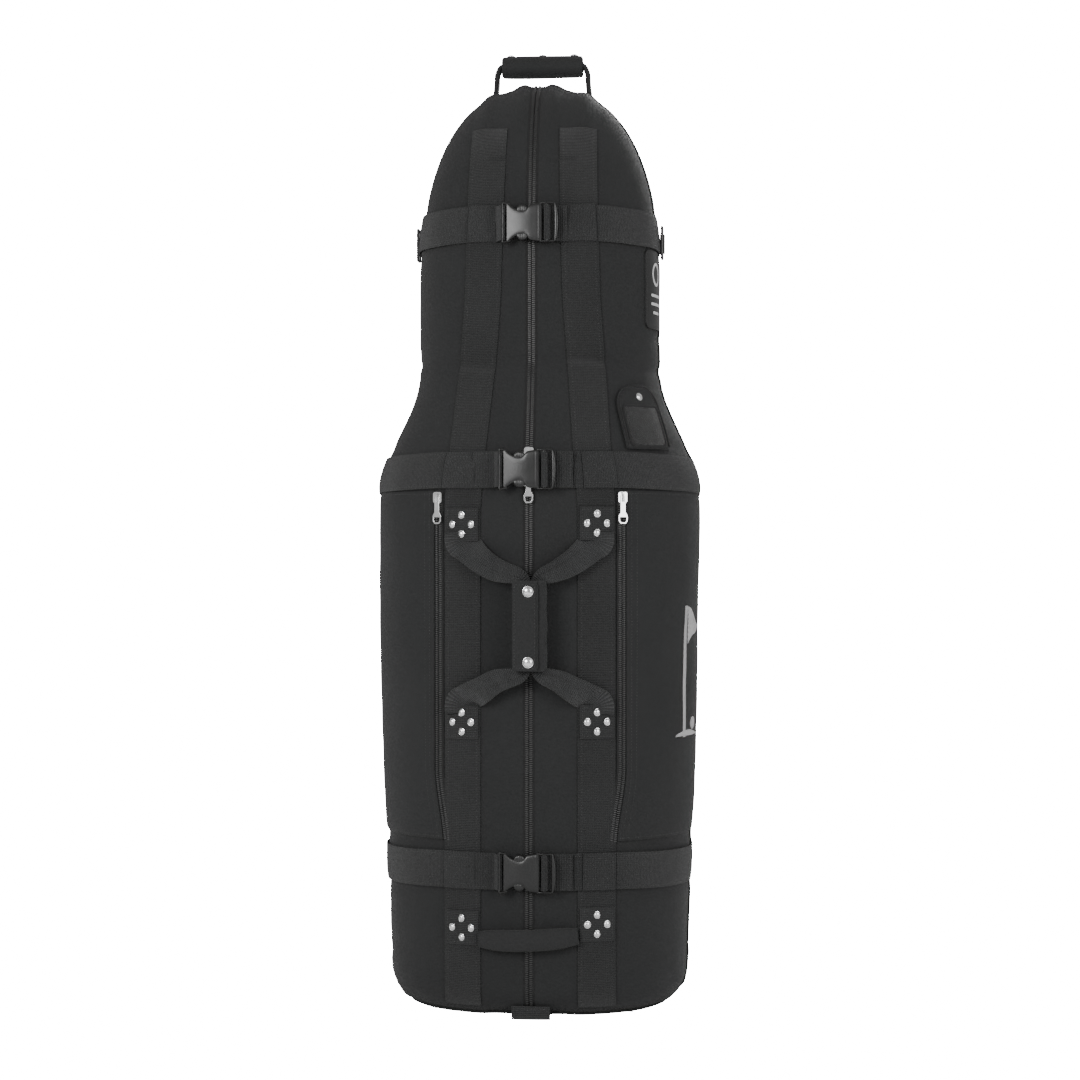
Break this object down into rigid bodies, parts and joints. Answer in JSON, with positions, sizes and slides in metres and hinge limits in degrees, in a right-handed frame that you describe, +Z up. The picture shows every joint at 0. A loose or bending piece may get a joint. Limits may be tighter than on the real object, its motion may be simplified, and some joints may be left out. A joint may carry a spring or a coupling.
{
  "type": "golf travel case",
  "caption": "Soft padded golf club travel case with domed top, moulded wheeled base, buckled compression straps, zippered pockets and carry handles.",
  "frame": {"origin": "on the floor plane at the middle of the base rails' underside, below the long axis of the case", "axes": "+Z up along the case, -Y out of the front with the main zipper, +X to the right of a person who faces the front"},
  "size_m": [0.4607, 0.4026, 1.3607],
  "materials": {
    "shell_fabric": "woven ballistic nylon, matt",
    "liner_foam": "foam laminate",
    "webbing": "ribbed nylon webbing",
    "grip_fabric": "woven nylon",
    "zipper_coil": "moulded coil",
    "zipper_tape": "woven tape",
    "buckle_plastic": "satin",
    "nickel": "polished",
    "ring_metal": "black",
    "badge_rubber": "satin",
    "mark_thread": "embroidered",
    "clear_vinyl": "clear sheet",
    "base_plastic": "moulded",
    "tyre_rubber": "urethane",
    "wheel_plastic": "moulded",
    "bearing_steel": "zinc plated"
  },
  "bodies": {
    "case": {"front_panel_left": "shell_fabric", "front_panel_right": "shell_fabric", "back_panel": "shell_fabric", "foam_liner": "liner_foam", "zipper_coils": "zipper_coil", "zipper_tapes": "zipper_tape", "pocket_skin_left": "shell_fabric", "pocket_skin_right": "shell_fabric", "vertical_webbings": "webbing", "top_strap": "webbing", "middle_strap": "webbing", "bottom_strap": "webbing", "top_buckle_female": "buckle_plastic", "middle_buckle_female": "buckle_plastic", "bottom_buckle_female": "buckle_plastic", "handle_patches": "webbing", "patch_rivets": "nickel", "haul_handle_arms": "webbing", "badge_patch": "badge_rubber", "side_emblem": "mark_thread", "toe_loop": "webbing", "base_moulding": "base_plastic", "wheel_bearings": "bearing_steel", "wheel_axles": "bearing_steel"},
    "carry_handle": {"carry_handle_webbing": "webbing", "carry_handle_grip": "grip_fabric", "carry_handle_snaps": "nickel"},
    "haul_grip": {"haul_grip": "grip_fabric"},
    "haul_flap": {"haul_grip_flap": "grip_fabric", "haul_grip_snaps": "nickel"},
    "grab_handle": {"grab_handle": "webbing"},
    "card_holder": {"card_holder": "grip_fabric", "card_window": "clear_vinyl", "card_holder_snap": "nickel"},
    "side_ring_left": {"side_ring_left": "ring_metal"},
    "side_ring_right": {"side_ring_right": "ring_metal"},
    "main_lower_slider": {"main_lower_slider": "nickel"},
    "main_lower_pull": {"main_lower_pull": "nickel"},
    "main_upper_slider": {"main_upper_slider": "nickel"},
    "main_upper_pull": {"main_upper_pull": "nickel"},
    "pocket_left_slider": {"pocket_left_slider": "nickel"},
    "pocket_left_pull": {"pocket_left_pull": "nickel"},
    "pocket_right_slider": {"pocket_right_slider": "nickel"},
    "pocket_right_pull": {"pocket_right_pull": "nickel"},
    "top_male": {"top_buckle_male": "buckle_plastic", "top_strap_tail": "webbing"},
    "top_prong_upper": {"top_prong_upper": "buckle_plastic"},
    "top_prong_lower": {"top_prong_lower": "buckle_plastic"},
    "middle_male": {"middle_buckle_male": "buckle_plastic", "middle_strap_tail": "webbing"},
    "middle_prong_upper": {"middle_prong_upper": "buckle_plastic"},
    "middle_prong_lower": {"middle_prong_lower": "buckle_plastic"},
    "bottom_male": {"bottom_buckle_male": "buckle_plastic", "bottom_strap_tail": "webbing"},
    "bottom_prong_upper": {"bottom_prong_upper": "buckle_plastic"},
    "bottom_prong_lower": {"bottom_prong_lower": "buckle_plastic"},
    "wheel_left": {"wheel_tyre_left": "tyre_rubber", "wheel_hub_left": "wheel_plastic"},
    "wheel_right": {"wheel_tyre_right": "tyre_rubber", "wheel_hub_right": "wheel_plastic"}
  },
  "joints": [
    {"name": "carry_handle_swing", "type": "hinge", "parent": "case", "child": "carry_handle", "pos_m": [0, 0.045, 1.296], "axis": [1, 0, 0], "range_deg": [-75, 30]},
    {"name": "haul_grip_lift", "type": "slide", "parent": "case", "child": "haul_grip", "axis": [0, -1, 0], "range_m": [0, 0.05], "deforming": ["haul_handle_arms"]},
    {"name": "haul_flap_open", "type": "hinge", "parent": "haul_grip", "child": "haul_flap", "pos_m": [-0.02, -0.2123, 0.5385], "axis": [0, 0, 1], "range_deg": [-120, 0]},
    {"name": "grab_handle_swing", "type": "hinge", "parent": "case", "child": "grab_handle", "pos_m": [0, -0.1813, 0.116], "axis": [1, 0, 0], "range_deg": [-45, 35]},
    {"name": "card_holder_fold", "type": "hinge", "parent": "case", "child": "card_holder", "pos_m": [0.16383, -0.12602, 0.7785], "axis": [0.723, 0.6909, 0], "range_deg": [0, 100]},
    {"name": "side_ring_left_swing", "type": "hinge", "parent": "case", "child": "side_ring_left", "pos_m": [-0.17514, 0.011, 1.078], "axis": [0, 0, 1], "range_deg": [-110, 0]},
    {"name": "side_ring_right_swing", "type": "hinge", "parent": "case", "child": "side_ring_right", "pos_m": [0.17514, 0.011, 1.078], "axis": [0, 0, 1], "range_deg": [0, 110]},
    {"name": "main_lower_slide", "type": "slide", "parent": "case", "child": "main_lower_slider", "axis": [0, 0, -1], "range_m": [0, 0.645]},
    {"name": "main_lower_pull_swing", "type": "hinge", "parent": "main_lower_slider", "child": "main_lower_pull", "pos_m": [0, -0.1799, 0.736], "axis": [1, 0, 0], "range_deg": [-6, 0]},
    {"name": "main_upper_slide", "type": "slide", "parent": "case", "child": "main_upper_slider", "axis": [0, 0.2626, 0.9649], "range_m": [0, 0.118]},
    {"name": "main_upper_pull_swing", "type": "hinge", "parent": "main_upper_slider", "child": "main_upper_pull", "pos_m": [0, -0.17553, 0.77472], "axis": [1, 0, 0], "range_deg": [-3, 0]},
    {"name": "pocket_left_slide", "type": "slide", "parent": "case", "child": "pocket_left_slider", "axis": [0, 0.0059, -1], "range_m": [0, 0.38]},
    {"name": "pocket_left_pull_swing", "type": "hinge", "parent": "pocket_left_slider", "child": "pocket_left_pull", "pos_m": [-0.12727, -0.16193, 0.714], "axis": [0.9308, -0.3656, 0], "range_deg": [-150, 0]},
    {"name": "pocket_right_slide", "type": "slide", "parent": "case", "child": "pocket_right_slider", "axis": [0, 0.0059, -1], "range_m": [0, 0.38]},
    {"name": "pocket_right_pull_swing", "type": "hinge", "parent": "pocket_right_slider", "child": "pocket_right_pull", "pos_m": [0.12727, -0.16193, 0.714], "axis": [0.9308, 0.3656, 0], "range_deg": [-150, 0]},
    {"name": "top_buckle_release", "type": "slide", "parent": "case", "child": "top_male", "axis": [1, 0, 0], "range_m": [0, 0.034], "deforming": ["top_prong_upper", "top_prong_lower"]},
    {"name": "top_prong_upper_squeeze", "type": "hinge", "parent": "top_male", "child": "top_prong_upper", "pos_m": [0.014, -0.14557, 1.10275], "axis": [0, 1, 0], "range_deg": [-7, 0], "stiffness_Nm_per_rad": 0.4},
    {"name": "top_prong_lower_squeeze", "type": "hinge", "parent": "top_male", "child": "top_prong_lower", "pos_m": [0.014, -0.14557, 1.07425], "axis": [0, 1, 0], "range_deg": [0, 7], "stiffness_Nm_per_rad": 0.4},
    {"name": "middle_buckle_release", "type": "slide", "parent": "case", "child": "middle_male", "axis": [1, 0, 0], "range_m": [0, 0.034], "deforming": ["middle_prong_upper", "middle_prong_lower"]},
    {"name": "middle_prong_upper_squeeze", "type": "hinge", "parent": "middle_male", "child": "middle_prong_upper", "pos_m": [0.014, -0.188, 0.76375], "axis": [0, 1, 0], "range_deg": [-7, 0], "stiffness_Nm_per_rad": 0.4},
    {"name": "middle_prong_lower_squeeze", "type": "hinge", "parent": "middle_male", "child": "middle_prong_lower", "pos_m": [0.014, -0.188, 0.73525], "axis": [0, 1, 0], "range_deg": [0, 7], "stiffness_Nm_per_rad": 0.4},
    {"name": "bottom_buckle_release", "type": "slide", "parent": "case", "child": "bottom_male", "axis": [1, 0, 0], "range_m": [0, 0.034], "deforming": ["bottom_prong_upper", "bottom_prong_lower"]},
    {"name": "bottom_prong_upper_squeeze", "type": "hinge", "parent": "bottom_male", "child": "bottom_prong_upper", "pos_m": [0.014, -0.188, 0.21925], "axis": [0, 1, 0], "range_deg": [-7, 0], "stiffness_Nm_per_rad": 0.4},
    {"name": "bottom_prong_lower_squeeze", "type": "hinge", "parent": "bottom_male", "child": "bottom_prong_lower", "pos_m": [0.014, -0.188, 0.19075], "axis": [0, 1, 0], "range_deg": [0, 7], "stiffness_Nm_per_rad": 0.4},
    {"name": "wheel_left_spin", "type": "hinge", "parent": "case", "child": "wheel_left", "pos_m": [-0.11, 0.15, 0.04], "axis": [1, 0, 0], "continuous": true},
    {"name": "wheel_right_spin", "type": "hinge", "parent": "case", "child": "wheel_right", "pos_m": [0.11, 0.15, 0.04], "axis": [1, 0, 0], "continuous": true}
  ],
  "couplings": [
    {"joint": "top_prong_lower_squeeze", "follows": "top_prong_upper_squeeze", "ratio": -1},
    {"joint": "middle_prong_lower_squeeze", "follows": "middle_prong_upper_squeeze", "ratio": -1},
    {"joint": "bottom_prong_lower_squeeze", "follows": "bottom_prong_upper_squeeze", "ratio": -1}
  ]
}
